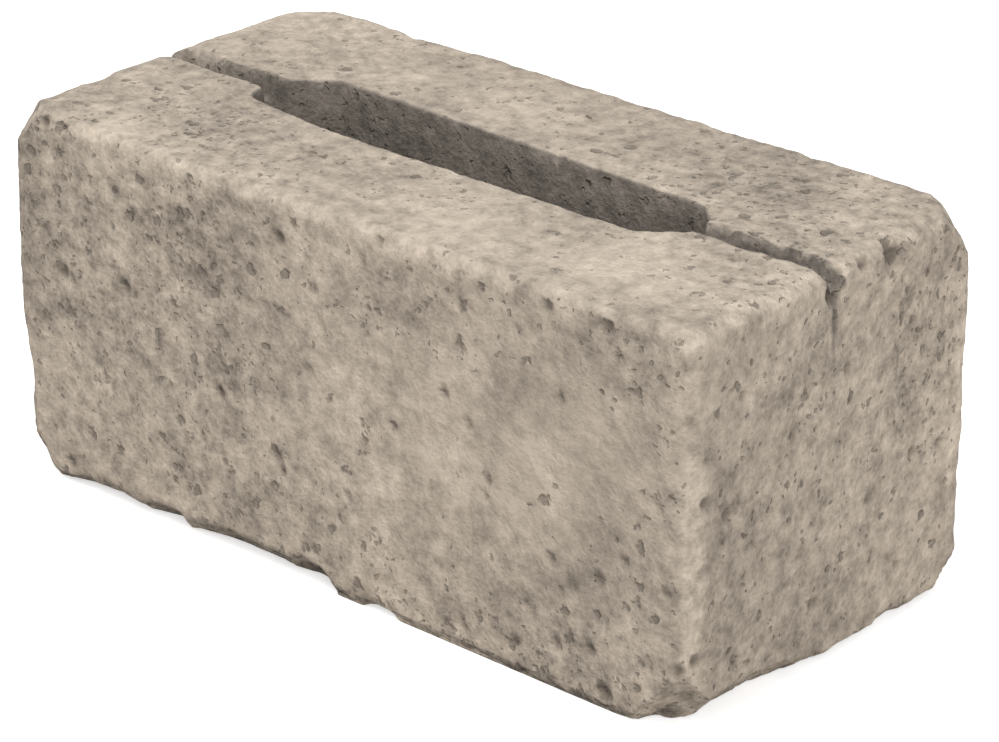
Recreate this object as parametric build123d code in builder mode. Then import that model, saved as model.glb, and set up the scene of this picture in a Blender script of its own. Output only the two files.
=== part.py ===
"""Tumbled concrete wall block: one casting with a core slot, bar grooves and knocked-off arrises.

Millimetres. X runs along the block, -Y is its front, Z is up.
The origin is the middle of the underside, so the block stands on the plane Z = 0.
"""

import math
import os

from build123d import *

# Overall size of the casting
length = 300.0
width = 147.0
height = 137.0

# Worn top arrises: height of the rounding, and how far it sets the top bed back on each side
top_round_height = 5.0
top_setback_left = 14.0
top_setback_front = 4.0
top_setback_right = 7.0
top_setback_back = 6.0

# Worn base arrises, in the same way
base_round_height = 4.0
base_setback_left = 12.0
base_setback_front = 2.0
base_setback_right = 11.0
base_setback_back = 7.0

# Upright corners: plan radius of each at mid height, and what wear adds to it at the two beds
front_left_radius = 6.0
front_right_radius = 8.0
back_right_radius = 5.0
back_left_radius = 8.0
corner_wear = 10.0

# Core slot: corners of its plan at the top bed, wider towards its left end, and drafted to narrow downwards
slot_corners = (
    (-53.0, -18.5),
    (81.0, -18.5),
    (96.5, -6.5),
    (94.0, 3.0),
    (86.0, 11.5),
    (-79.0, 17.0),
    (-96.5, 3.0),
    (-92.0, -13.0),
)
slot_corner_radius = 5.0
slot_draft_angle = 1.5
slot_lip_radius = 1.5

# Grooves that the core's carrier bar leaves in the top bed, from inside the slot to each end
groove_start = 88.0
left_groove_axis = 1.2
left_groove_width = 11.0
left_groove_depth = 10.0
right_groove_axis = -2.0
right_groove_width = 9.0
right_groove_depth = 8.0
groove_flare_angle = 12.0
groove_floor_radius = 2.0

# Seam below each groove, which runs out in the end wall
seam_width = 7.0
seam_depth = 3.0
seam_length = 40.0

# Chips on the arrises: place from the block's middle, as shares of its half length, half width and half height,
# then share of the full depth below the square edge
chip_radius = 15.0
chip_depth = 8.0
chip_shares = (
    (-0.52, -1, -1, 0.9),
    (-0.30, -1, -1, 0.85),
    (-0.07, -1, -1, 1.0),
    (0.14, -1, -1, 0.5),
    (1, -0.60, -1, 1.0),
    (1, 0.45, -1, 0.6),
    (-0.60, 1, 1, 0.7),
    (0.34, 1, 1, 0.6),
    (-0.30, 1, -1, 0.8),
    (0.55, 1, -1, 0.8),
    (-1, 0.30, -1, 0.8),
    (-1, -0.45, 1, 0.7),
)

# Broader knocks, on the eight corners and along the more worn arrises, in the same way
knock_radius = 160.0
knock_depth = 15.0
knock_shares = (
    (1, -1, -1, 1.0),
    (-1, -1, -1, 0.9),
    (1, 1, -1, 0.7),
    (-1, 1, -1, 0.6),
    (1, -1, 1, 0.4),
    (-1, -1, 1, 0.75),
    (-1, 1, 1, 0.9),
    (1, 1, 1, 0.85),
    (-1, -1, -0.60, 0.4),
    (-0.70, -1, -1, 0.33),
    (-0.25, -1, -1, 0.40),
    (1, -0.60, -1, 0.55),
)

# Cuts run past the faces that they open by this much
overrun = 6.0

# Stations on a rounded arris, as shares of its quarter turn from the wall to the bed
round_step_shares = (0, 0.2, 0.4, 0.6, 0.8, 0.92, 1)

top_setbacks = (top_setback_left, top_setback_front, top_setback_right, top_setback_back)
base_setbacks = (base_setback_left, base_setback_front, base_setback_right, base_setback_back)

plan_radii = (front_left_radius, front_right_radius, back_right_radius, back_left_radius)


def worn_outline(level, setbacks, share):
    """The block's plan at one level, set back on each side by a share of that side's full setback."""
    left, front, right, back = (share * setback for setback in setbacks)
    corners = (
        (-length / 2 + left, -width / 2 + front),
        (length / 2 - right, -width / 2 + front),
        (length / 2 - right, width / 2 - back),
        (-length / 2 + left, width / 2 - back),
    )
    radii = [radius + share * corner_wear for radius in plan_radii]
    with BuildSketch(Plane.XY.offset(level)) as outline:
        with BuildLine():
            FilletPolyline(*corners, radius=radii, close=True)
        make_face()
    return outline.sketch


def arris_stations(round_height, setbacks, bed_level, side):
    """Outlines that follow a rounded arris from the wall to the bed, whose level is given."""
    outlines = []
    for step_share in round_step_shares:
        turn = step_share * math.pi / 2
        level = bed_level - side * round_height * (1 - math.sin(turn))
        outlines.append(worn_outline(level, setbacks, 1 - math.cos(turn)))
    return outlines


def scoop_centre(place, radius, depth):
    """Centre of a ball that bites to a depth below an edge, along the diagonal of the faces that meet there."""
    edge = Vector(place[0] * length / 2, place[1] * width / 2, height / 2 + place[2] * height / 2)
    outward = Vector(*[axis if abs(axis) == 1 else 0 for axis in place])
    return edge + outward.normalized() * (radius - depth)


base_stations = arris_stations(base_round_height, base_setbacks, 0, -1)
top_stations = arris_stations(top_round_height, top_setbacks, height, 1)

with BuildPart() as block:
    # Casting with its tumbled outline: upright walls between two rounded arrises
    extrude(base_stations[0], amount=height - base_round_height - top_round_height, dir=(0, 0, 1))
    loft(base_stations[::-1])
    loft(top_stations)

    # Core slot, right through the block, with its lips worn round
    with BuildSketch(Plane.XY.offset(height)) as slot:
        with BuildLine():
            Polyline(*slot_corners, close=True)
        make_face()
        fillet(slot.vertices(), slot_corner_radius)
    extrude(amount=-height, taper=slot_draft_angle, mode=Mode.SUBTRACT)
    beds = block.faces().filter_by(GeomType.PLANE).filter_by(Axis.Z)
    lips = ShapeList(edge for bed in beds for wire in bed.inner_wires() for edge in wire.edges())
    fillet(lips, slot_lip_radius)

    # Bar grooves, with flared walls and a rounded floor
    grooves = (
        (-1, left_groove_axis, left_groove_width, left_groove_depth),
        (1, right_groove_axis, right_groove_width, right_groove_depth),
    )
    for side, axis, groove_width, groove_depth in grooves:
        floor_width = groove_width - 2 * groove_depth * math.tan(math.radians(groove_flare_angle))
        start = (side * groove_start, axis, height)
        with BuildSketch(Plane(start, x_dir=(0, 1, 0), z_dir=(1, 0, 0))) as groove:
            with BuildLine():
                Polyline(
                    (groove_width / 2, overrun),
                    (groove_width / 2, 0),
                    (floor_width / 2, -groove_depth),
                    (-floor_width / 2, -groove_depth),
                    (-groove_width / 2, 0),
                    (-groove_width / 2, overrun),
                    close=True,
                )
            make_face()
            fillet(groove.vertices().group_by(Axis.Y)[0], groove_floor_radius)
        extrude(amount=side * (length / 2 - groove_start + overrun), mode=Mode.SUBTRACT)

    # Seams: a notch that leans out of each end wall and runs out below its groove
    mouth_share = (seam_length + overrun) / seam_length
    for side, axis in ((-1, left_groove_axis), (1, right_groove_axis)):
        with BuildSketch(Plane.XY.offset(height + overrun)) as seam:
            with BuildLine():
                Polyline(
                    (side * (length / 2 - seam_depth * mouth_share), axis),
                    (side * (length / 2 + seam_depth), axis + seam_width * mouth_share),
                    (side * (length / 2 + seam_depth), axis - seam_width * mouth_share),
                    close=True,
                )
            make_face()
        lean = Vector(side * seam_depth, 0, -seam_length) * mouth_share
        extrude(amount=lean.length, dir=lean, mode=Mode.SUBTRACT)

    # Chips and knocks, each scooped out by a ball
    scoops = ((chip_radius, chip_depth, chip_shares), (knock_radius, knock_depth, knock_shares))
    for radius, full_depth, shares in scoops:
        for *place, depth_share in shares:
            with Locations(scoop_centre(place, radius, full_depth * depth_share)):
                Sphere(radius, mode=Mode.SUBTRACT)

block.part.label = "block"
os.makedirs("parts", exist_ok=True)
export_step(block.part, "parts/block.step")
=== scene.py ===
"""Dresses the tumbled concrete wall block: its worn surface, its open-pored concrete and a pale studio.

Metres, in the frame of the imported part: X along the block, -Y its front, Z up from the floor.
The block with its through slot is a closed ring, so one grid of columns (round the plan) and rows
(round the section: top bed, arris, wall, arris, underside, slot wall) covers all of it.
"""

import itertools
import math

import bpy
import numpy as np
from bpy.props import FloatProperty, FloatVectorProperty, IntProperty, PointerProperty
from mathutils import Matrix, Vector


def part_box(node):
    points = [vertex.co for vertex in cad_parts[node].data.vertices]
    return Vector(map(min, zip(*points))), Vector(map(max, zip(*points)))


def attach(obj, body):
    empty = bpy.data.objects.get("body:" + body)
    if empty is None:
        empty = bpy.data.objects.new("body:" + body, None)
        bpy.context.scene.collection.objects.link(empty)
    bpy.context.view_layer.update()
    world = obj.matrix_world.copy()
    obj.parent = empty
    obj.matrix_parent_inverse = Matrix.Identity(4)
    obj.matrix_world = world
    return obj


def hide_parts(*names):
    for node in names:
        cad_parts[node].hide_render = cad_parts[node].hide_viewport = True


bl_info = {
    "name": "Tumbled wall block",
    "version": (1, 0, 0),
    "blender": (4, 5, 0),
    "location": "View3D > Sidebar > Wall block",
    "description": "Builds a tumbled concrete wall block, its concrete and a pale studio around it",
    "category": "Add Mesh",
}

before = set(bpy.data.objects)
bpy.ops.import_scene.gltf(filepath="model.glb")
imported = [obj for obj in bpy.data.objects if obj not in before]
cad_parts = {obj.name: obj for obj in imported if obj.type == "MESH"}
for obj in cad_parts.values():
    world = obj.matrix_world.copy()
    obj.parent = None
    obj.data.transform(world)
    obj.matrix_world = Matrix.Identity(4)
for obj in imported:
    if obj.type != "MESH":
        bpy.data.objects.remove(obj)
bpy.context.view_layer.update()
block_low, block_high = (np.array(corner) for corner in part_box("block"))
length, width, height = block_high - block_low

# Photograph's width in pixels, and width of the camera's sensor in millimetres
PHOTO_WIDTH = 999
SENSOR_WIDTH = 36.0

# White, with its opacity
WHITE = (1, 1, 1, 1)

# Grid columns in a quarter of the plan: groove floor, groove wall, rest of slot's end, corner, long wall
QUARTER_COLUMNS = (3, 5, 4, 42, 100)

# Grid rows in the section: top bed, top arris, wall, base arris, underside, lower lip, slot wall, upper lip
SECTION_ROWS = (29, 10, 70, 10, 8, 3, 22, 4)

# Power that draws the slot wall's rows together towards the top
SLOT_CROWDING = 0.6

# Chips and larger knocks: place from the block's middle, as shares of its half length, half width and half
# height, and share of the full depth below the square edge or corner there
CHIPS = (
    (-0.52, -1, -1, 0.9), (-0.30, -1, -1, 0.85), (-0.07, -1, -1, 1.0), (0.14, -1, -1, 0.5),
    (1, -0.60, -1, 1.0), (1, 0.45, -1, 0.6), (-0.60, 1, 1, 0.7), (0.34, 1, 1, 0.6), (-0.30, 1, -1, 0.8),
    (0.55, 1, -1, 0.8), (-1, 0.30, -1, 0.8), (-1, -0.45, 1, 0.7),
)
KNOCKS = (
    (1, -1, -1, 1.0), (-1, -1, -1, 0.9), (1, 1, -1, 0.7), (-1, 1, -1, 0.6), (1, -1, 1, 0.4),
    (-1, -1, 1, 0.75), (-1, 1, 1, 0.9), (1, 1, 1, 0.85), (-1, -1, -0.60, 0.4), (-0.70, -1, -1, 0.33),
    (-0.25, -1, -1, 0.40), (1, -0.60, -1, 0.55),
)

# Core slot: corners of its plan at the top bed, from the front left round to the left end, in metres
SLOT_CORNERS = (
    (-0.0530, -0.0185), (0.0810, -0.0185), (0.0965, -0.0065), (0.0940, 0.0030), (0.0860, 0.0115),
    (-0.0790, 0.0170), (-0.0965, 0.0030), (-0.0920, -0.0130),
)

# Stained (positive) and clean (negative) patches of the skin: place on the face and radius in metres, then
# strength. The place is x and z on the front, y and z on the right end, and x and y on the top bed.
FRONT_STAINS = (
    (-0.058, 0.112, 0.028, 1.0), (-0.040, 0.072, 0.028, 0.6), (-0.130, 0.085, 0.020, 0.6),
    (-0.130, 0.060, 0.020, 0.4), (0.030, 0.112, 0.022, 0.6), (0.058, 0.112, 0.018, 0.3),
    (0.120, 0.054, 0.018, 1.2), (0.095, 0.018, 0.030, 0.6), (0.060, 0.016, 0.020, 0.4),
    (-0.075, 0.028, 0.016, 0.5), (-0.025, 0.034, 0.014, 0.6), (-0.106, 0.058, 0.012, 0.5),
    (0.085, 0.126, 0.024, 0.6), (0.120, 0.124, 0.022, 0.8), (-0.142, 0.122, 0.022, 1.2),
    (-0.144, 0.090, 0.020, 0.6), (0.040, 0.124, 0.016, 0.5), (-0.018, 0.111, 0.011, 0.7),
    (0.005, 0.075, 0.035, -0.5), (0.040, 0.080, 0.030, -0.4), (-0.100, 0.100, 0.020, -0.3),
    (0.034, 0.044, 0.022, -0.6), (-0.034, 0.054, 0.016, -0.6), (-0.118, 0.080, 0.010, -0.8),
    (-0.034, 0.065, 0.012, 1.5), (0.024, 0.065, 0.011, 1.2), (0.012, 0.108, 0.012, 1.3),
    (-0.018, 0.053, 0.012, -0.5), (0.055, 0.128, 0.010, 0.6), (0.080, 0.128, 0.010, 0.6),
    (0.105, 0.128, 0.010, 0.6), (0.126, 0.128, 0.010, 0.5), (0.000, 0.128, 0.010, 0.6),
    (-0.130, 0.128, 0.010, 0.8), (0.144, 0.105, 0.012, 0.8), (0.144, 0.084, 0.010, 0.4),
    (-0.084, 0.014, 0.010, -0.8), (0.012, 0.020, 0.014, 0.7),
)
END_STAINS = (
    (-0.060, 0.030, 0.020, 0.8), (-0.060, 0.075, 0.020, 0.7), (-0.042, 0.108, 0.016, 0.5),
    (0.044, 0.100, 0.018, 0.7), (0.000, 0.015, 0.018, 0.4), (0.036, 0.034, 0.028, -1.0),
    (-0.015, 0.098, 0.018, 0.7), (-0.070, 0.062, 0.010, -0.8), (0.022, 0.092, 0.016, -0.6),
)
TOP_STAINS = (
    (0.090, 0.050, 0.028, 0.9), (0.055, 0.055, 0.020, 0.4), (-0.080, -0.045, 0.026, 0.9),
    (-0.030, -0.050, 0.022, 0.5), (0.085, 0.030, 0.018, 0.8), (0.128, -0.012, 0.018, 0.9),
    (0.100, -0.045, 0.040, -0.8), (-0.110, -0.058, 0.015, -0.3), (-0.130, 0.050, 0.020, -0.8),
    (-0.080, 0.040, 0.016, -0.5), (0.000, -0.070, 0.024, -0.8), (0.034, -0.070, 0.020, -0.7),
    (-0.042, -0.070, 0.016, -0.8), (0.112, 0.006, 0.012, 0.8), (0.000, -0.041, 0.012, 0.7),
    (-0.075, -0.070, 0.014, -0.8), (-0.105, -0.070, 0.012, -0.7), (0.072, -0.030, 0.014, 0.8),
    (0.042, -0.053, 0.014, -0.6),
)

# Stain on the slot's back wall, with its whole place
SLOT_STAIN = (-0.072, 0.010, 0.120, 0.014, 1.2)

# Strengths of the painted shade on facets that face down, to the front and to the other sides, and in the
# grooves
FRONT_UNDERSIDE_SHADE = 3.0
SIDE_UNDERSIDE_SHADE = 0.3
GROOVE_SHADE = 0.7

# Rougher (positive) and smoother (negative) regions of the skin, in the same way
FRONT_POROUS = (
    (0.102, 0.076, 0.058, -0.62), (0.000, 0.090, 0.045, -0.12), (0.100, 0.012, 0.028, 0.25),
    (-0.080, 0.090, 0.050, 0.12),
)
END_POROUS = (
    (0.000, 0.070, 0.070, 0.22), (0.055, 0.100, 0.030, 0.20), (-0.058, 0.060, 0.020, 0.15),
)
TOP_POROUS = ((0.000, 0.045, 0.090, -0.15),)

# Larger pits: place on the face and radius in metres, and the whole place at the end's arrises
FRONT_PITS = (
    (0.069, 0.0640, 0.0025), (0.118, 0.0060, 0.0035), (-0.132, 0.1340, 0.0032), (-0.123, 0.1345, 0.0026),
    (0.093, 0.1305, 0.0030), (0.117, 0.1310, 0.0032), (0.051, 0.0885, 0.0026), (0.112, 0.0190, 0.0026),
    (-0.024, 0.0425, 0.0028), (-0.022, 0.0380, 0.0028), (-0.125, 0.0805, 0.0032),
    (-0.021, 0.1215, 0.0030), (0.142, 0.0490, 0.0025), (-0.094, 0.0830, 0.0028), (0.115, 0.0440, 0.0026),
    (-0.006, 0.1080, 0.0025), (0.125, 0.0545, 0.0023), (0.023, 0.1330, 0.0025), (-0.050, 0.0575, 0.0028),
    (0.061, 0.0810, 0.0025), (0.081, 0.0110, 0.0025), (0.059, 0.0085, 0.0023), (0.098, 0.0165, 0.0025),
)
END_PITS = (
    (-0.0665, 0.0260, 0.0034), (-0.0530, 0.0715, 0.0032), (-0.0638, 0.0792, 0.0030),
    (0.0375, 0.0200, 0.0028), (-0.0076, 0.0225, 0.0030), (-0.0633, 0.0935, 0.0026),
    (-0.0466, 0.1090, 0.0028), (0.0433, 0.0584, 0.0032), (0.0202, 0.0500, 0.0028),
    (0.0582, 0.0563, 0.0030), (-0.0472, 0.0188, 0.0030), (-0.0208, 0.0867, 0.0028),
    (0.0064, 0.1005, 0.0030),
)
ARRIS_PITS = (
    (0.149, 0.0285, 0.1325, 0.0056), (0.149, -0.0026, 0.1290, 0.0050), (0.147, -0.0725, 0.0230, 0.0032),
    (0.148, 0.0020, 0.1360, 0.0032), (0.149, 0.0130, 0.1335, 0.0036),
)

# Chance pits: size of the cells that may hold one in metres, smallest and largest radius as shares of a cell,
# chance that a cell holds one, and step from the seed
CHANCE_PITS = (0.011, 0.12, 0.24, 0.5, 300)

# Chance patterns: size of their largest cells in metres, octaves, step from the seed, mean and swing. The
# last three swing in metres, the others as shares of a relief.
WAVES = (0.050, 3, 0, 0.5, 0.5)
ARRIS_KNOCKS = (0.022, 3, 100, 0.45, 0.9)
GRIT = (0.0055, 2, 150, 0.5, 0.7)
PIT_CLUSTERS = (0.035, 1, 200, 0.5, 1.2)
BROKEN_FACES = (0.014, 3, 400, 0, 0.0012)
GROOVE_SWAY = (0.018, 3, 500, 0, 0.0009)
GROOVE_RAGGED = (0.006, 2, 510, 0, 0.0006)

# Share of its height that the surface keeps above a groove or seam, so that its faces don't fold
PRESSED_SHARE = 0.02

# Painted shade of the grooves: where it starts inside the mouth and over what width it deepens, in metres
MOUTH_START = -0.0003
MOUTH_FADE = 0.0005

# Stretch of the left groove where its painted shade grows lighter: how far from the middle it starts and its
# run, in metres, and by what share it is lighter
LIGHTER_GROOVE_START = 0.110
LIGHTER_GROOVE_RUN = 0.030
LIGHTER_GROOVE_SHARE = 0.45

# Painted shade of the seams: strength at full depth, and power by which it fades with the depth
SEAM_SHADE = 1.2
SEAM_POWER = 0.6

# Fading of the corner dust, in metres: sideways, and at its foot and top
DUST_EDGE = 0.002
DUST_FADE = 0.010

# Share of the largest corner radius after which a point counts as round the corner
CORNER_SHARE = 0.7

# Slopes of the surface, as parts of its unit normal: where an effect starts, and the run to its full strength
DUSTY_SLOPE = (0.5, 0.2)
DOWNWARD_SLOPE = (0, 0.5)
FRONTWARD_SLOPE = (0.35, 0.5)

# Patterns of the concrete: cells per metre and octaves, and each octave's share of the one before it
CLOUDS = (38, 3)
DRIFTS = (60, 3)
MOTTLE = (170, 3)
SHAKE = (330, 1)
GRAIN = (620, 2)
OCTAVE_SHARE = 0.6

# Ranges over which drifts of dust fill out, and a pit takes its painted shade
DRIFT_RANGE = (0.25, 0.55)
PIT_RANGE = (0.1, 1.2)

# Pores of the concrete: cells per metre, and smallest and largest radius as shares of a cell
SMALL_PORES = (300, 0.20, 0.42)
LARGE_PORES = (140, 0.14, 0.38)


class BlockShape(bpy.types.PropertyGroup):
    """Sizes of the block's arrises, slot, grooves and surface relief."""

    top_round: FloatProperty(
        name="Top rounding", description="Height of the worn top arris", default=0.005, unit="LENGTH"
    )
    top_setbacks: FloatVectorProperty(
        name="Top setbacks",
        description="How far the top bed lies inside the left, front, right and back walls",
        size=4, default=(0.014, 0.004, 0.007, 0.006), unit="LENGTH",
    )
    base_round: FloatProperty(
        name="Base rounding", description="Height of the worn base arris", default=0.004, unit="LENGTH"
    )
    base_setbacks: FloatVectorProperty(
        name="Base setbacks",
        description="How far the underside lies inside the left, front, right and back walls",
        size=4, default=(0.012, 0.002, 0.011, 0.007), unit="LENGTH",
    )
    corner_radii: FloatVectorProperty(
        name="Corner radii",
        description="Plan radii of the front left, front right, back right and back left corners",
        size=4, default=(0.006, 0.008, 0.005, 0.008), unit="LENGTH",
    )
    corner_dust: FloatVectorProperty(
        name="Corner dust",
        description="Pale dust on the front left, front right, back right and back left corners",
        size=4, default=(0.15, 1.0, 0.7, 0.5),
    )
    dust_width: FloatProperty(
        name="Dust width", description="Dusty strip of the end walls beside their corners",
        default=0.011, unit="LENGTH",
    )
    arris_dust: FloatProperty(name="Arris dust", description="Pale dust on the arrises", default=0.2)
    dust_foot: FloatProperty(
        name="Dust foot", description="Height from which the corners are dusty",
        default=0.020, unit="LENGTH",
    )
    dust_level: FloatProperty(
        name="Dust level", description="Height up to which the corners are dusty",
        default=0.104, unit="LENGTH",
    )
    corner_wear: FloatProperty(
        name="Corner wear", description="What wear adds to the corner radius at the beds",
        default=0.010, unit="LENGTH",
    )
    slot_corner: FloatProperty(
        name="Slot corner", description="Radius of the slot's corners in plan",
        default=0.005, unit="LENGTH",
    )
    slot_draft: FloatProperty(
        name="Slot draft", description="Lean of the slot's walls",
        default=math.radians(1.5), subtype="ANGLE",
    )
    slot_lip: FloatProperty(
        name="Slot lip", description="Radius of the slot's worn lips", default=0.0015, unit="LENGTH"
    )
    groove_start: FloatProperty(
        name="Groove start", description="Where the bar grooves start inside the slot",
        default=0.088, unit="LENGTH",
    )
    groove_margin: FloatProperty(
        name="Groove margin", description="Closely gridded strip beside each groove",
        default=0.003, unit="LENGTH",
    )
    groove_axes: FloatVectorProperty(
        name="Groove axes", description="Where the left and right bar grooves lie across the block",
        size=2, default=(0.0012, -0.0020), unit="LENGTH",
    )
    groove_widths: FloatVectorProperty(
        name="Groove widths", description="Bar grooves at the left and right ends",
        size=2, default=(0.011, 0.009), unit="LENGTH",
    )
    groove_depths: FloatVectorProperty(
        name="Groove depths", description="Bar grooves at the left and right ends",
        size=2, default=(0.010, 0.008), unit="LENGTH",
    )
    groove_flare: FloatProperty(
        name="Groove flare", description="Lean of the grooves' walls",
        default=math.radians(12), subtype="ANGLE",
    )
    seam_width: FloatProperty(
        name="Seam width", description="Mouth of the notch below each groove",
        default=0.007, unit="LENGTH",
    )
    seam_depth: FloatProperty(
        name="Seam depth", description="Depth of that notch at the top", default=0.003, unit="LENGTH"
    )
    seam_length: FloatProperty(
        name="Seam length", description="How far that notch runs down the end wall",
        default=0.040, unit="LENGTH",
    )
    chip_radius: FloatProperty(
        name="Chip radius", description="Ball that scoops the chips", default=0.015, unit="LENGTH"
    )
    chip_depth: FloatProperty(
        name="Chip depth", description="Depth of the largest chip", default=0.008, unit="LENGTH"
    )
    knock_radius: FloatProperty(
        name="Knock radius", description="Ball that scoops the corners", default=0.160, unit="LENGTH"
    )
    knock_depth: FloatProperty(
        name="Knock depth", description="Depth of the largest corner knock", default=0.015, unit="LENGTH"
    )
    face_relief: FloatProperty(
        name="Face relief", description="Depth of the faces' slow waves", default=0.0006, unit="LENGTH"
    )
    arris_relief: FloatProperty(
        name="Arris relief", description="Depth of the knocks along the arrises",
        default=0.0008, unit="LENGTH",
    )
    grit_relief: FloatProperty(
        name="Grit relief", description="Depth of the coarse grain", default=0.0005, unit="LENGTH"
    )
    pit_depth: FloatProperty(
        name="Pit depth", description="Depth of the larger pits", default=0.0022, unit="LENGTH"
    )
    pit_radius: FloatProperty(
        name="Pit radius", description="Radius of a pit of that depth", default=0.0032, unit="LENGTH"
    )
    under_relief: FloatProperty(
        name="Underside relief", description="Share of the relief that the underside keeps", default=0.2
    )
    seed: IntProperty(name="Seed", description="Chooses the chance relief", default=7)


class ConcreteFinish(bpy.types.PropertyGroup):
    """Colours and unevenness of the concrete."""

    buff: FloatVectorProperty(
        name="Buff", description="Cement skin", default=(0.416, 0.355, 0.289), subtype="COLOR"
    )
    worn: FloatVectorProperty(
        name="Worn", description="Pale dust on worn arrises",
        default=(0.540, 0.462, 0.376), subtype="COLOR",
    )
    # Painted shade: the dark colour that pores and pits take in place of the shade in their hollows
    pore: FloatVectorProperty(
        name="Pore", description="Inside of pores and pits",
        default=(0.140, 0.117, 0.095), subtype="COLOR",
    )
    # Painted shade: darker colour of the slot's walls and the grooves, in place of the shade inside them
    core: FloatVectorProperty(
        name="Core", description="Unwashed concrete inside the slot",
        default=(0.205, 0.178, 0.151), subtype="COLOR",
    )
    cloud_share: FloatProperty(name="Clouds", description="Unevenness over tens of millimetres", default=0.9)
    mottle_share: FloatProperty(name="Mottle", description="Unevenness over a few millimetres", default=1.45)
    grain_share: FloatProperty(name="Grain", description="Unevenness from grain to grain", default=0.65)
    # Darkening by stains and by the painted shade under the chips and in the grooves
    stain_and_shade_share: FloatProperty(name="Stain", description="How much darker a stained patch is", default=0.20)
    pore_share: FloatProperty(name="Pores", description="Share of cells that hold a pore", default=0.35)
    pore_clouds: FloatProperty(name="Pores by clouds", description="More pores in pale clouds", default=1.2)
    pore_stain: FloatProperty(name="Pores by stain", description="More pores in stains", default=0.35)
    pore_dust: FloatProperty(name="Pores by dust", description="Fewer pores in dust", default=0.6)
    pore_edge: FloatProperty(name="Pore edge", description="Soft rim, as a share of a cell", default=0.22)
    # How far pores and pits take that painted shade
    pore_dark: FloatProperty(name="Pore dark", description="How far a pore takes its colour", default=0.66)
    pit_dark: FloatProperty(name="Pit dark", description="How far a pit takes that colour", default=0.95)
    small_pores: FloatProperty(name="Small pores", description="Strength against large ones", default=0.7)
    large_pores: FloatProperty(name="Large pores", description="Chance against small ones", default=1.2)
    raggedness: FloatProperty(
        name="Raggedness", description="How far the pores' outlines stray", default=0.0055, unit="LENGTH"
    )
    skin_bump: FloatProperty(name="Skin bump", description="Mottle and grain in the bump", default=0.4)
    pore_bump: FloatProperty(name="Pore bump", description="Depth of pores in the bump", default=0.55)
    bump_depth: FloatProperty(
        name="Bump depth", description="Depth of the finest relief", default=0.0016, unit="LENGTH"
    )
    roughness: FloatProperty(name="Roughness", description="Dullness of the skin", default=0.93)
    sheen: FloatProperty(name="Sheen", description="Strength of its faint reflection", default=0.2)


class Studio(bpy.types.PropertyGroup):
    """Camera, light and floor of the studio."""

    azimuth: FloatProperty(
        name="Azimuth", description="Camera's turn about the block",
        default=math.radians(41.78), subtype="ANGLE",
    )
    elevation: FloatProperty(
        name="Elevation", description="Camera's height above the floor",
        default=math.radians(23.97), subtype="ANGLE",
    )
    distance: FloatProperty(
        name="Distance", description="From the block's middle to the camera",
        default=1.3451, unit="LENGTH",
    )
    focal_pixels: FloatProperty(
        name="Focal length", description="In pixels of the photograph", default=4000.0
    )
    shift_right: FloatProperty(
        name="Frame shift right", description="In pixels of the photograph", default=21.6
    )
    shift_down: FloatProperty(
        name="Frame shift down", description="In pixels of the photograph", default=32.2
    )
    sky: FloatProperty(name="Sky", description="Strength of the even light", default=0.55)
    key: FloatProperty(name="Key", description="Power of the large overhead lamp, in watts", default=17.0)
    key_size: FloatProperty(name="Key size", description="Side of that lamp", default=1.4, unit="LENGTH")
    key_place: FloatVectorProperty(
        name="Key place", description="Where it hangs", default=(-0.3, -0.5, 1.6), subtype="TRANSLATION"
    )
    fill: FloatProperty(name="Fill", description="Power of the front lamp, in watts", default=18.0)
    fill_size: FloatProperty(name="Fill size", description="Side of that lamp", default=1.2, unit="LENGTH")
    fill_place: FloatVectorProperty(
        name="Fill place", description="Where it stands", default=(1.4, -1.05, 0.9), subtype="TRANSLATION"
    )
    floor_reach: FloatProperty(
        name="Floor reach", description="From the middle of the floor to its sides",
        default=6.0, unit="LENGTH",
    )
    floor_pale: FloatVectorProperty(
        name="Floor", description="Floor as it is seen", default=(0.9, 0.9, 0.9), subtype="COLOR"
    )
    floor_glow: FloatProperty(name="Floor glow", description="What whitens the far floor", default=0.52)
    floor_dull: FloatVectorProperty(
        name="Floor bounce", description="Floor as it lights the block",
        default=(0.60, 0.585, 0.57), subtype="COLOR",
    )


def hashed(cells, seed):
    """Repeatable numbers from 0 to 1 for lattice cells: indices times large primes, mixed bit by bit."""
    primes = np.array((0x9E3779B97F4A7C15, 0xC2B2AE3D27D4EB4F, 0x165667B19E3779F9), dtype=np.uint64)
    mixed = (cells.astype(np.int64).astype(np.uint64) * primes).sum(axis=-1, dtype=np.uint64)
    mixed = mixed + np.array(seed * 2654435761 % 2**32, dtype=np.uint64)
    for shift in (31, 29, 32):
        mixed = (mixed ^ (mixed >> np.uint64(shift))) * primes[1]
    return (mixed >> np.uint64(40)).astype(float) / 2**24


def gradient_noise(points, cell, seed):
    """Smooth noise of about -1 to 1: a random slope at each corner of a lattice, blended by an ease curve."""
    spread = 1.6
    place = points / cell
    base = np.floor(place)
    offset = place - base
    ease = offset**3 * (offset * (offset * 6 - 15) + 10)
    total = np.zeros(points.shape[:-1])
    for corner in itertools.product((0, 1), repeat=3):
        slopes = np.stack([hashed(base + corner, seed + axis) for axis in range(3)], axis=-1) * 2 - 1
        weight = np.prod(np.where(corner, ease, 1 - ease), axis=-1)
        total += weight * np.sum(slopes * (offset - corner), axis=-1)
    return total * spread


def fractal_noise(points, cell, octaves, seed):
    """Sum of smooth noises, each half the size and half the height of the one before."""
    total = np.zeros(points.shape[:-1])
    for octave in range(octaves):
        total += gradient_noise(points, cell / 2**octave, seed + 10 * octave) / 2**octave
    return total


def chance_pattern(points, pattern, seed):
    """One of the named chance patterns: its mean, and fractal noise times its swing."""
    cell, octaves, step, mean, swing = pattern
    return mean + swing * fractal_noise(points, cell, octaves, seed + step)


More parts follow.
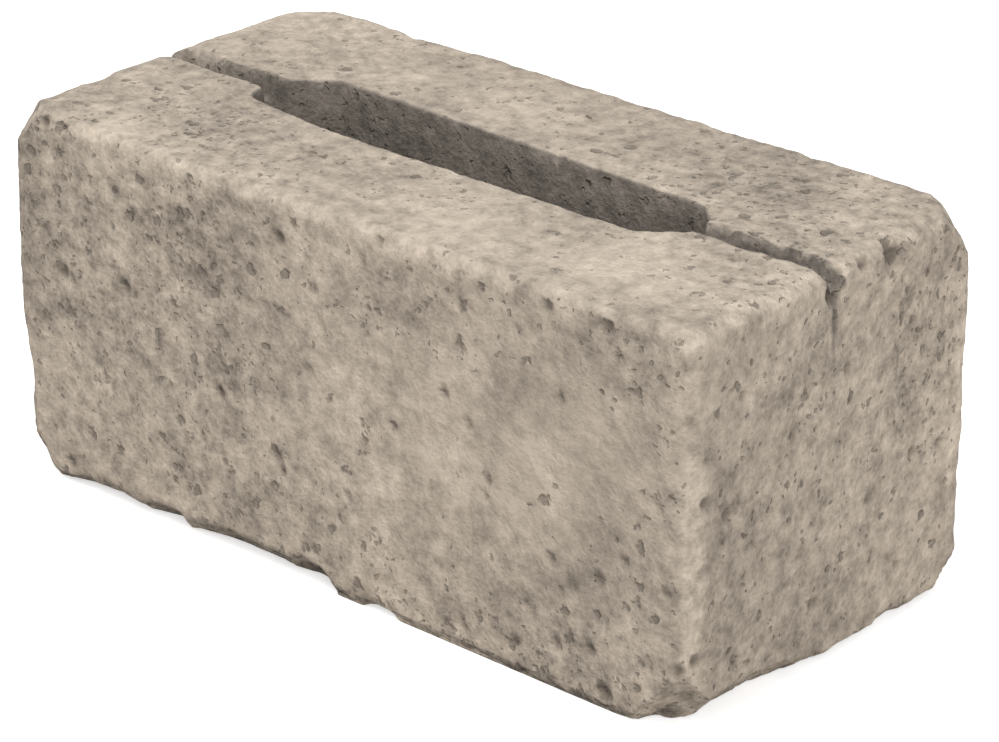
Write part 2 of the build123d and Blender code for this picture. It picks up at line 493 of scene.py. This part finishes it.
def chance_pits(points, seed):
    """Depth share of round pits: a cell holds one at a random place, with the given chance and a random
    radius, and its depth falls as one minus the square of the distance over the radius."""
    cell, smallest, largest, chance, step = CHANCE_PITS
    seed += step
    place = points / cell
    base = np.floor(place)
    deepest = np.zeros(points.shape[:-1])
    for neighbour in itertools.product((-1, 0, 1), repeat=3):
        cells = base + neighbour
        middle = cells + np.stack([hashed(cells, seed + axis) for axis in range(3)], axis=-1)
        radius = smallest + (largest - smallest) * hashed(cells, seed + 3) ** 2
        distance = np.linalg.norm(place - middle, axis=-1)
        there = hashed(cells, seed + 4) < chance
        deepest = np.maximum(deepest, np.where(there, 1 - (distance / radius) ** 2, 0))
    return deepest


def ramp(values, start, run):
    """Rises evenly from 0 at the start to 1 at the end of the run, and stays there."""
    return np.clip((values - start) / run, 0, 1)


def rounded_polygon(corners, radii, steps=24):
    """Closed outline with each corner replaced by an arc tangent to its two sides."""
    corners = np.asarray(corners, float)
    before = np.roll(corners, 1, axis=0) - corners
    after = np.roll(corners, -1, axis=0) - corners
    before /= np.linalg.norm(before, axis=1, keepdims=True)
    after /= np.linalg.norm(after, axis=1, keepdims=True)
    half_angle = np.arccos(np.clip((before * after).sum(axis=1), -1, 1)) / 2
    tangent = (np.asarray(radii) / np.tan(half_angle))[:, None]
    bisector = before + after
    bisector /= np.linalg.norm(bisector, axis=1, keepdims=True)
    centres = corners + bisector * (np.asarray(radii) / np.sin(half_angle))[:, None]
    start = corners + before * tangent - centres
    end = corners + after * tangent - centres
    share = np.linspace(0, 1, steps)[None, :, None]
    turn = (math.pi - 2 * half_angle)[:, None, None]
    arcs = (np.sin((1 - share) * turn) * start[:, None] + np.sin(share * turn) * end[:, None]) / np.sin(turn)
    return (centres[:, None] + arcs).reshape(-1, 2)


def resampled(outline, shares):
    """Points of a closed outline at the given shares of its length, from where it crosses +X."""
    closed = np.vstack((outline, outline[:1]))
    travelled = np.concatenate(([0], np.cumsum(np.linalg.norm(np.diff(closed, axis=0), axis=1))))
    crossing = np.flatnonzero((closed[:-1, 1] < 0) & (closed[1:, 1] >= 0) & (closed[:-1, 0] > 0))[0]
    part = -closed[crossing, 1] / (closed[crossing + 1, 1] - closed[crossing, 1])
    start = travelled[crossing] + part * (travelled[crossing + 1] - travelled[crossing])
    wanted = (start + shares * travelled[-1]) % travelled[-1]
    return np.stack([np.interp(wanted, travelled, closed[:, axis]) for axis in range(2)], axis=-1)


def wall_outline(shape, share, setbacks):
    """The block's plan, set back on each side by a share of that side's full setback."""
    left, front, right, back = (share * setback for setback in setbacks)
    x_low, x_high = left - length / 2, length / 2 - right
    y_low, y_high = front - width / 2, width / 2 - back
    radii = [radius + share * shape.corner_wear for radius in shape.corner_radii]
    return rounded_polygon(((x_low, y_low), (x_high, y_low), (x_high, y_high), (x_low, y_high)), radii)


def groove_halves(shape, end):
    """Half widths of the bar groove at one end, at its floor and at its mouth."""
    mouth = shape.groove_widths[end > 0] / 2
    return mouth - shape.groove_depths[end > 0] * math.tan(shape.groove_flare), mouth


def column_shares(shape):
    """Where the grid's columns meet the wall and the slot, as shares of the two outlines.

    Over each quarter of the plan the groove's columns run almost straight from the slot's end to the wall,
    close together, and the others spread from the slot's taper and long side to the corner and the wall."""
    front_left, front_right, back_right, back_left = shape.corner_radii
    corners = np.array(SLOT_CORNERS)
    quarters = (
        (1, 1, back_right, *corners[[4, 3, 2]]),
        (-1, 1, back_left, *corners[[5, 6, 7]]),
        (-1, -1, front_left, *corners[[0, 7, 6]]),
        (1, -1, front_right, *corners[[1, 2, 3]]),
    )
    wall_steps, slot_steps, counts = [], [], []
    for end, side, radius, corner, tip, other_tip in quarters:
        floor, mouth = groove_halves(shape, end)
        groove = [floor, mouth - floor, shape.groove_margin]
        arc_saving = (1 - math.pi / 4) * radius
        start = tip + (other_tip - tip) * tip[1] / (tip[1] - other_tip[1])
        taper = math.dist(start, tip) + math.dist(tip, corner)
        order = slice(None, None, end * side)
        wall_steps += [*groove, width / 2 - sum(groove) - arc_saving, length / 2 - arc_saving][order]
        slot_steps += [*groove, taper - sum(groove), abs(corner[0])][order]
        counts += QUARTER_COLUMNS[order]
    knots = np.concatenate(([0], np.cumsum(counts)))
    shares = []
    for steps in (wall_steps, slot_steps):
        marks = np.concatenate(([0], np.cumsum(steps))) / sum(steps)
        shares.append(np.interp(np.arange(knots[-1]), knots, marks))
    return shares


def ring_surface(shape):
    """Plain ring: rows of points round the section, each an outline round the plan.

    Arris rows follow a quarter ellipse, setback times (1 - cos) by rounding times (1 - sin). Bed rows are
    straight blends from the set-back wall outline to the slot's lip. Returns the points and, for each row,
    how far it lies on an arris (0 off it, 1 at its middle) and how far inside the slot (0 outside, 1 on its
    wall)."""
    wall_shares, slot_shares = column_shares(shape)
    slot = resampled(rounded_polygon(SLOT_CORNERS, (shape.slot_corner,) * len(SLOT_CORNERS)), slot_shares)
    along = np.roll(slot, -1, axis=0) - np.roll(slot, 1, axis=0)
    outward = np.stack((along[:, 1], -along[:, 0]), axis=-1)
    outward /= np.linalg.norm(outward, axis=1, keepdims=True)
    rows, arris, inside = [], [], []

    def add(plan, level, turned, within):
        rows.append(np.column_stack((plan, np.full(len(plan), level))))
        arris.append(turned)
        inside.append(within)

    def slot_plan(level):
        return slot - outward * math.tan(shape.slot_draft) * (height - level)

    def wall_plan(share, setbacks):
        return resampled(wall_outline(shape, share, setbacks), wall_shares)

    def steps(start, stop, count):
        return np.linspace(start, stop, count, endpoint=False)

    quarter_turn = math.pi / 2
    top_count, top_turns, wall_count, base_turns, base_count, low_lip, slot_count, high_lip = SECTION_ROWS
    top_inner = slot_plan(height) + outward * shape.slot_lip
    top_outer = wall_plan(1, shape.top_setbacks)
    for share in steps(0, 1, top_count):
        add(top_inner + (top_outer - top_inner) * share, height, 0, 0)
    for turn in steps(quarter_turn, 0, top_turns):
        plan = wall_plan(1 - math.cos(turn), shape.top_setbacks)
        add(plan, height - shape.top_round * (1 - math.sin(turn)), math.sin(2 * turn), 0)
    wall = wall_plan(0, shape.top_setbacks)
    for level in steps(height - shape.top_round, shape.base_round, wall_count):
        add(wall, level, 0, 0)
    for turn in steps(0, quarter_turn, base_turns):
        plan = wall_plan(1 - math.cos(turn), shape.base_setbacks)
        add(plan, shape.base_round * (1 - math.sin(turn)), math.sin(2 * turn), 0)
    base_outer = wall_plan(1, shape.base_setbacks)
    base_inner = slot_plan(0) + outward * shape.slot_lip
    for share in steps(1, 0, base_count):
        add(base_inner + (base_outer - base_inner) * share, 0, 0, 0)
    for turn in steps(quarter_turn, 0, low_lip):
        plan = slot_plan(0) + outward * shape.slot_lip * (1 - math.cos(turn))
        add(plan, shape.slot_lip * (1 - math.sin(turn)), 0, 0.5)
    for share in steps(0, 1, slot_count) ** SLOT_CROWDING:
        level = shape.slot_lip + (height - 2 * shape.slot_lip) * share
        add(slot_plan(level), level, 0, 1)
    for turn in steps(0, quarter_turn, high_lip):
        plan = slot_plan(height) + outward * shape.slot_lip * (1 - math.cos(turn))
        add(plan, height - shape.slot_lip * (1 - math.sin(turn)), 0, 1 - (turn / quarter_turn) ** 2)
    return np.array(rows), np.array(arris), np.array(inside)


def grid_normals(points):
    """Outward unit normals of the closed grid, from the steps between neighbours."""
    across = np.roll(points, -1, axis=0) - np.roll(points, 1, axis=0)
    along = np.roll(points, -1, axis=1) - np.roll(points, 1, axis=1)
    normals = np.cross(across, along)
    return normals / np.maximum(np.linalg.norm(normals, axis=-1, keepdims=True), 1e-12)


def scooped(points, centre, radius):
    """Points inside a ball go straight out to its surface, which leaves a hollow chip."""
    away = points - np.asarray(centre)
    distance = np.linalg.norm(away, axis=-1, keepdims=True)
    radius = np.reshape(radius, np.shape(radius) + (1,))
    return np.where(distance < radius, centre + away / np.maximum(distance, 1e-9) * radius, points)


def broken_edges(points, shape):
    """The surface with its arris chips and corner knocks, each scooped by a ball with a rough skin.

    The ball sits outside its edge, along the diagonal of the faces that meet there."""
    rough = chance_pattern(points, BROKEN_FACES, shape.seed)
    half_sizes = np.array((length, width, height)) / 2
    scoops = ((CHIPS, shape.chip_radius, shape.chip_depth), (KNOCKS, shape.knock_radius, shape.knock_depth))
    for table, radius, full_depth in scoops:
        for *place, share in table:
            edge = (0, 0, height / 2) + half_sizes * place
            outward = np.array([axis if abs(axis) == 1 else 0 for axis in place])
            outward = outward / np.linalg.norm(outward)
            points = scooped(points, edge + outward * (radius - share * full_depth), radius + rough)
    return points


def grooved(points, shape):
    """The surface with the bar grooves in its top bed and the seams below them, and the painted shade of each
    point.

    A groove's floor lies at height - depth, its walls rise by 1 / tan(flare), and what stood above it is
    pressed flat on to it. A seam is a notch whose depth and width both fall evenly to nothing over its
    length. A groove's painted shade starts at its mouth and deepens inwards, lighter towards the left end.
    A seam's painted shade is a power of its depth."""
    x, y, z = (points[..., axis].copy() for axis in range(3))
    end = np.where(x > 0, 1, 0)
    beyond_slot = np.abs(x) > shape.groove_start
    sway = chance_pattern(np.stack((x, 0 * y, 0 * z), axis=-1), GROOVE_SWAY, shape.seed)
    ragged = chance_pattern(points, GROOVE_RAGGED, shape.seed)
    across = np.abs(y - np.array(shape.groove_axes)[end] - sway) + ragged
    mouth = np.array(shape.groove_widths)[end] / 2
    depth = np.array(shape.groove_depths)[end]
    sunk = np.clip((mouth - across) / math.tan(shape.groove_flare), 0, depth)
    over = np.where(beyond_slot, np.maximum(z - (height - sunk), 0) * (sunk > 0), 0)
    # Painted shade in the groove, from just inside its mouth inwards, lighter towards the left end
    dark = ramp(mouth - across, MOUTH_START, MOUTH_FADE) * beyond_slot * (z > height - depth)
    dark = dark * (1 - LIGHTER_GROOVE_SHARE * ramp(-x, LIGHTER_GROOVE_START, LIGHTER_GROOVE_RUN))
    z = z - over * (1 - PRESSED_SHARE)
    run = ramp(z, height - shape.seam_length, shape.seam_length)
    notch_share = np.clip(1 - across / np.maximum(shape.seam_width / 2 * run, 1e-6), 0, 1) * run
    limit = length / 2 - notch_share * shape.seam_depth
    in_seam = (notch_share > 0) & (np.abs(x) > limit)
    x = np.where(in_seam, np.sign(x) * (limit + (np.abs(x) - limit) * PRESSED_SHARE), x)
    # Painted shade in the seams, a power of their depth
    dark = np.clip(np.maximum(dark, SEAM_SHADE * notch_share**SEAM_POWER), 0, 1)
    return np.stack((x, y, z), axis=-1), dark


def face_rows(front, end, top=()):
    """Rows of the faces' tables with their whole places: the front lies at y = -width / 2, the right end at
    x = length / 2 and the top bed at z = height."""
    return (
        *((x, -width / 2, z, *rest) for x, z, *rest in front),
        *((length / 2, y, z, *rest) for y, z, *rest in end),
        *((x, y, height, *rest) for x, y, *rest in top),
    )


def patched(points, patches):
    """Sum of the patches' strengths at each point, each fading as exp(-(distance / radius) ** 2)."""
    total = np.zeros(points.shape[:-1])
    for *place, radius, strength in patches:
        total += strength * np.exp(-np.sum((points - place) ** 2, axis=-1) / radius**2)
    return total


def placed_pits(points, usual_radius):
    """Depth share of the larger pits: each falls as one minus the square of the distance over its radius, and
    a pit of the usual radius is one deep."""
    deepest = np.zeros(points.shape[:-1])
    for *place, radius in (*face_rows(FRONT_PITS, END_PITS), *ARRIS_PITS):
        fall = 1 - np.sum((points - place) ** 2, axis=-1) / radius**2
        deepest = np.maximum(deepest, fall * radius / usual_radius)
    return deepest


def corner_turn(points, shape):
    """How far a point lies round an upright corner, from 0 on the walls to 1 well round it."""
    reach = max(shape.corner_radii)
    past_x = np.abs(points[..., 0]) - (length / 2 - reach)
    past_y = np.abs(points[..., 1]) - (width / 2 - reach)
    return ramp(np.minimum(past_x, past_y), 0, CORNER_SHARE * reach)


def dust_strips(points, normals, shape):
    """Pale dust on the end walls beside the upright corners, each with its own share.

    It fills a strip of the dust's width between the dust's foot and level, where the wall faces along X."""
    x, y, z = (points[..., axis] for axis in range(3))
    front_left, front_right, back_right, back_left = shape.corner_dust
    right = np.where(y > 0, back_right, front_right)
    left = np.where(y > 0, back_left, front_left)
    beside = ramp(np.abs(y), width / 2 - shape.dust_width, DUST_EDGE)
    facing = ramp(np.abs(normals[..., 0]), *DUSTY_SLOPE)
    risen = ramp(np.minimum(shape.dust_level - z, z - shape.dust_foot), 0, DUST_FADE)
    return np.where(x > 0, right, left) * beside * facing * risen


def underside_shade(points):
    """Painted shade on facets that face down, by their slope, and stronger where they also face the front."""
    facing = grid_normals(points)
    strength = np.maximum(FRONT_UNDERSIDE_SHADE * ramp(-facing[..., 1], *FRONTWARD_SLOPE), SIDE_UNDERSIDE_SHADE)
    return strength * ramp(-facing[..., 2], *DOWNWARD_SLOPE)


def block_surface(shape):
    """The tumbled block, and what its concrete follows: dust, painted shade of slot and grooves, pits, stains
    and painted shade, and roughness.

    Each point of the plain ring goes in along its normal by the waves, grit and pits, and by knocks where it
    lies on an arris or round a corner. Then the edges are broken and the grooves sunk."""
    points, arris, inside = ring_surface(shape)
    normals = grid_normals(points)
    arris, inside = arris[:, None], inside[:, None]
    outside = inside < 0.5
    edge = np.maximum(arris, corner_turn(points, shape)) * outside
    dust = np.maximum(shape.arris_dust * arris, dust_strips(points, normals, shape)) * outside

    waves = chance_pattern(points, WAVES, shape.seed)
    knocks = np.maximum(chance_pattern(points, ARRIS_KNOCKS, shape.seed), 0)
    grit = np.maximum(chance_pattern(points, GRIT, shape.seed), 0)
    clusters = np.clip(chance_pattern(points, PIT_CLUSTERS, shape.seed), 0, 1)
    pits = np.maximum(chance_pits(points, shape.seed) * clusters, placed_pits(points, shape.pit_radius))
    kept_share = np.where(points[..., 2] < 1e-6, shape.under_relief, 1)
    depth = shape.face_relief * waves + shape.grit_relief * grit + shape.pit_depth * pits
    depth = depth * kept_share + shape.arris_relief * knocks * edge
    points = points - normals * np.maximum(depth, 0)[..., None]
    points, sunk = grooved(np.clip(broken_edges(points, shape), block_low, block_high), shape)

    stains = (*face_rows(FRONT_STAINS, END_STAINS, TOP_STAINS), SLOT_STAIN)
    return points, {
        "worn_edge": dust,
        # Painted shade: where the slot's walls and the grooves take the darker recess colour
        "slot_groove_shade": np.maximum(inside, sunk),
        "pit": pits,
        # Stains, plus painted shade on down-facing facets and in the grooves
        "stain_and_shade": patched(points, stains) + underside_shade(points) * outside + GROOVE_SHADE * sunk,
        "porous": patched(points, face_rows(FRONT_POROUS, END_POROUS, TOP_POROUS)),
    }


def ring_mesh(name, points, attributes):
    """Mesh of a grid that closes on itself both ways, with one float attribute for each named array."""
    row_count, column_count = points.shape[:2]
    index = np.arange(row_count * column_count).reshape(row_count, column_count)
    below = np.roll(index, -1, axis=0)
    beside, across = np.roll(index, -1, axis=1), np.roll(below, -1, axis=1)
    quads = np.stack((index, below, across, beside), axis=-1).reshape(-1, 4)
    mesh = bpy.data.meshes.new(name)
    mesh.vertices.add(index.size)
    mesh.vertices.foreach_set("co", points.reshape(-1).astype(np.float32))
    mesh.loops.add(quads.size)
    mesh.loops.foreach_set("vertex_index", quads.reshape(-1).astype(np.int32))
    mesh.polygons.add(len(quads))
    mesh.polygons.foreach_set("loop_start", np.arange(0, quads.size, 4, dtype=np.int32))
    for key, values in attributes.items():
        attribute = mesh.attributes.new(key, "FLOAT", "POINT")
        attribute.data.foreach_set("value", values.reshape(-1).astype(np.float32))
    mesh.update(calc_edges=True)
    mesh.validate()
    mesh.shade_smooth()
    return mesh


def add_node(tree, kind, inputs=None, **settings):
    """Adds a node, sets its options, and sets or links the inputs given by name or number."""
    node = tree.nodes.new(kind)
    for key, value in settings.items():
        setattr(node, key, value)
    for key, value in (inputs or {}).items():
        if isinstance(value, bpy.types.NodeSocket):
            tree.links.new(value, node.inputs[key])
        else:
            node.inputs[key].default_value = value
    return node


def mixed_colour(tree, share, first, second):
    """Colour that goes from the first to the second by a share."""
    node = add_node(tree, "ShaderNodeMix", data_type="RGBA")
    for socket, value in zip((node.inputs[0], node.inputs[6], node.inputs[7]), (share, first, second)):
        if isinstance(value, bpy.types.NodeSocket):
            tree.links.new(value, socket)
        else:
            socket.default_value = value if socket.type == "VALUE" else (*value, 1)
    return node.outputs[2]


def ranged(tree, value, low, high, to_low=0.0, to_high=1.0):
    """Value stretched from one range to another, held at its ends."""
    inputs = {"Value": value, "From Min": low, "From Max": high, "To Min": to_low, "To Max": to_high}
    return add_node(tree, "ShaderNodeMapRange", inputs, interpolation_type="SMOOTHSTEP").outputs["Result"]


def calculated(tree, operation, *values):
    """One step of arithmetic on the values."""
    return add_node(tree, "ShaderNodeMath", dict(enumerate(values)), operation=operation).outputs[0]


def concrete(finish):
    """Open-pored cast concrete: mottled skin with stained patches, pale worn arrises, and painted shade in
    pores and pits.

    The skin's brightness is one plus the shares of three noises about their mean, less the stains and the
    painted shade under the chips and in the grooves. Mottle and grain are stronger in rougher regions. A pore
    fills the middle of a random cell, with a ragged outline, where the cell's chance number lies under the
    local share of pores. The slot's walls and the grooves take a darker colour as painted shade."""
    material = bpy.data.materials.new("tumbled_concrete")
    material.use_nodes = True
    tree = material.node_tree
    tree.nodes.clear()
    place = add_node(tree, "ShaderNodeTexCoord").outputs["Object"]

    def attribute(name):
        return add_node(tree, "ShaderNodeAttribute", attribute_name=name).outputs["Fac"]

    def noise(scale, detail, output="Fac"):
        inputs = {"Vector": place, "Scale": scale, "Detail": detail, "Roughness": OCTAVE_SHARE}
        return add_node(tree, "ShaderNodeTexNoise", inputs).outputs[output]

    def vector(operation, inputs):
        return add_node(tree, "ShaderNodeVectorMath", inputs, operation=operation).outputs[0]

    def plus(first, second):
        return calculated(tree, "ADD", first, second)

    def times(first, second):
        return calculated(tree, "MULTIPLY", first, second)

    def uneven(value, share):
        return times(calculated(tree, "SUBTRACT", value, 0.5), share)

    def pores(pattern, chance):
        scale, smallest, largest = pattern
        cells = add_node(tree, "ShaderNodeTexVoronoi", {"Vector": ragged, "Scale": scale})
        lots = add_node(tree, "ShaderNodeSeparateColor", {"Color": cells.outputs["Color"]})
        there = calculated(tree, "LESS_THAN", lots.outputs[0], chance)
        radius = ranged(tree, lots.outputs[1], 0.0, 1.0, smallest, largest)
        within = calculated(tree, "SUBTRACT", radius, cells.outputs["Distance"])
        return times(ranged(tree, within, 0.0, finish.pore_edge), there)

    stain_and_shade, worn, porous = attribute("stain_and_shade"), attribute("worn_edge"), attribute("porous")
    clouds, mottle, grain = noise(*CLOUDS), noise(*MOTTLE), noise(*GRAIN)
    shake = vector("SUBTRACT", {0: noise(*SHAKE, output="Color"), 1: (0.5, 0.5, 0.5)})
    ragged = vector("ADD", {0: place, 1: vector("SCALE", {0: shake, "Scale": finish.raggedness})})

    crowd = plus(uneven(clouds, finish.pore_clouds), finish.pore_share)
    crowd = plus(plus(crowd, times(stain_and_shade, finish.pore_stain)), porous)
    crowd = plus(crowd, times(worn, -finish.pore_dust))
    small = times(pores(SMALL_PORES, crowd), finish.small_pores)
    holes = calculated(tree, "MAXIMUM", small, pores(LARGE_PORES, times(crowd, finish.large_pores)))

    level = plus(uneven(mottle, finish.mottle_share), uneven(grain, finish.grain_share))
    level = plus(times(level, plus(porous, 1.0)), uneven(clouds, finish.cloud_share))
    # Stains darken the skin, and so does the painted shade under the chips and in the grooves
    level = plus(plus(level, 1.0), times(stain_and_shade, -finish.stain_and_shade_share))
    dust = times(worn, ranged(tree, noise(*DRIFTS), *DRIFT_RANGE))
    colour = mixed_colour(tree, dust, finish.buff, finish.worn)
    # Painted shade: the slot's walls and the grooves take the darker recess colour
    colour = mixed_colour(tree, attribute("slot_groove_shade"), colour, finish.core)
    colour = vector("SCALE", {0: colour, "Scale": level})
    # Painted shade: pores and pits take the dark pore colour in place of the shade in their hollows
    colour = mixed_colour(tree, times(holes, finish.pore_dark), colour, finish.pore)
    pit = ranged(tree, attribute("pit"), *PIT_RANGE, 0.0, finish.pit_dark)
    colour = mixed_colour(tree, pit, colour, finish.pore)

    relief = times(plus(mottle, grain), finish.skin_bump)
    relief = calculated(tree, "SUBTRACT", relief, times(holes, finish.pore_bump))
    inputs = {"Height": relief, "Strength": 1.0, "Distance": finish.bump_depth}
    bump = add_node(tree, "ShaderNodeBump", inputs)
    shader = add_node(tree, "ShaderNodeBsdfPrincipled", {
        "Base Color": colour,
        "Roughness": finish.roughness,
        "Specular IOR Level": finish.sheen,
        "Normal": bump.outputs["Normal"],
    })
    add_node(tree, "ShaderNodeOutputMaterial", {"Surface": shader.outputs["BSDF"]})
    return material


class WALLBLOCK_OT_block(bpy.types.Operator):
    """Build the dressed block in place of the plain solid"""

    bl_idname = "wall_block.block"
    bl_label = "Build the block"

    def execute(self, context):
        mesh = ring_mesh("tumbled_block", *block_surface(context.scene.wall_block_shape))
        mesh.materials.append(concrete(context.scene.wall_block_finish))
        block = bpy.data.objects.new("tumbled_block", mesh)
        context.scene.collection.objects.link(block)
        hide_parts("block")
        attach(block, "root")
        return {"FINISHED"}


def aimed(obj, position, target):
    """Puts a lamp or camera at a place, looking at a target with its top up."""
    look = (Vector(target) - Vector(position)).to_track_quat("-Z", "Y")
    obj.matrix_world = Matrix.Translation(position) @ look.to_matrix().to_4x4()


def add_lamp(context, name, position, target, size, power):
    """Large square lamp with soft shadows."""
    data = bpy.data.lights.new(name, "AREA")
    data.shape = "SQUARE"
    data.size = size
    data.energy = power
    lamp = bpy.data.objects.new(name, data)
    context.scene.collection.objects.link(lamp)
    aimed(lamp, position, target)


def seen_directly(tree):
    """One for rays that come from the camera, a mirror or glass, and zero for light on the block."""
    path = add_node(tree, "ShaderNodeLightPath")
    seen = calculated(tree, "MAXIMUM", path.outputs["Is Camera Ray"], path.outputs["Is Glossy Ray"])
    return calculated(tree, "MAXIMUM", seen, path.outputs["Is Transmission Ray"])


def floor_material(studio):
    """Floor that looks white with a soft shadow, and throws back a duller light than it shows."""
    material = bpy.data.materials.new("studio_floor")
    material.use_nodes = True
    tree = material.node_tree
    tree.nodes.clear()
    dull = add_node(tree, "ShaderNodeBsdfDiffuse", {"Color": (*studio.floor_dull, 1)}).outputs[0]
    pale = add_node(tree, "ShaderNodeBsdfDiffuse", {"Color": (*studio.floor_pale, 1)}).outputs[0]
    glow = add_node(tree, "ShaderNodeEmission", {"Color": WHITE, "Strength": studio.floor_glow}).outputs[0]
    shown = add_node(tree, "ShaderNodeAddShader", {0: pale, 1: glow}).outputs[0]
    both = add_node(tree, "ShaderNodeMixShader", {0: seen_directly(tree), 1: dull, 2: shown}).outputs[0]
    add_node(tree, "ShaderNodeOutputMaterial", {"Surface": both})
    return material


def studio_world(strength):
    """Even light on the block, and white behind it."""
    world = bpy.data.worlds.new("studio")
    world.use_nodes = True
    tree = world.node_tree
    tree.nodes.clear()
    light = add_node(tree, "ShaderNodeBackground", {"Color": WHITE, "Strength": strength}).outputs[0]
    shown = add_node(tree, "ShaderNodeBackground", {"Color": WHITE, "Strength": 1.0}).outputs[0]
    both = add_node(tree, "ShaderNodeMixShader", {0: seen_directly(tree), 1: light, 2: shown}).outputs[0]
    add_node(tree, "ShaderNodeOutputWorld", {"Surface": both})
    return world


class WALLBLOCK_OT_stage(bpy.types.Operator):
    """Lay the floor, hang the lamps and place the camera"""

    bl_idname = "wall_block.stage"
    bl_label = "Set the stage"

    def execute(self, context):
        studio = context.scene.wall_block_studio
        context.scene.view_settings.view_transform = "Standard"
        context.scene.world = studio_world(studio.sky)
        reach = studio.floor_reach
        corners = [(-reach, -reach, 0), (reach, -reach, 0), (reach, reach, 0), (-reach, reach, 0)]
        mesh = bpy.data.meshes.new("floor")
        mesh.from_pydata(corners, [], [(0, 1, 2, 3)])
        mesh.materials.append(floor_material(studio))
        floor = bpy.data.objects.new("floor", mesh)
        context.scene.collection.objects.link(floor)

        middle = Vector((0, 0, height / 2))
        add_lamp(context, "key_lamp", studio.key_place, middle, studio.key_size, studio.key)
        add_lamp(context, "fill_lamp", studio.fill_place, middle, studio.fill_size, studio.fill)

        turn, rise = studio.azimuth, studio.elevation
        back = Vector((math.sin(turn) * math.cos(rise), -math.cos(turn) * math.cos(rise), math.sin(rise)))
        data = bpy.data.cameras.new("camera")
        data.sensor_width = SENSOR_WIDTH
        data.lens = studio.focal_pixels / PHOTO_WIDTH * data.sensor_width
        data.shift_x = studio.shift_right / PHOTO_WIDTH
        data.shift_y = -studio.shift_down / PHOTO_WIDTH
        camera = bpy.data.objects.new("camera", data)
        context.scene.collection.objects.link(camera)
        aimed(camera, middle + back * studio.distance, middle)
        context.scene.camera = camera
        return {"FINISHED"}


class VIEW3D_PT_wall_block(bpy.types.Panel):
    """Lists what can be built and the sizes and colours that it uses"""

    bl_label = "Wall block"
    bl_idname = "VIEW3D_PT_wall_block"
    bl_space_type = "VIEW_3D"
    bl_region_type = "UI"
    bl_category = "Wall block"

    def draw(self, context):
        for operator in (WALLBLOCK_OT_block, WALLBLOCK_OT_stage):
            self.layout.operator(operator.bl_idname)
        for name in SETTINGS:
            settings = getattr(context.scene, name)
            box = self.layout.box()
            for key in settings.__annotations__:
                box.prop(settings, key)


SETTINGS = {"wall_block_shape": BlockShape, "wall_block_finish": ConcreteFinish, "wall_block_studio": Studio}
CLASSES = (*SETTINGS.values(), WALLBLOCK_OT_block, WALLBLOCK_OT_stage, VIEW3D_PT_wall_block)


def register():
    for each in CLASSES:
        bpy.utils.register_class(each)
    for name, group in SETTINGS.items():
        setattr(bpy.types.Scene, name, PointerProperty(type=group))


def unregister():
    for name in SETTINGS:
        delattr(bpy.types.Scene, name)
    for each in reversed(CLASSES):
        bpy.utils.unregister_class(each)


def main():
    register()
    bpy.ops.wall_block.block()
    bpy.ops.wall_block.stage()


if __name__ == "__main__":
    main()
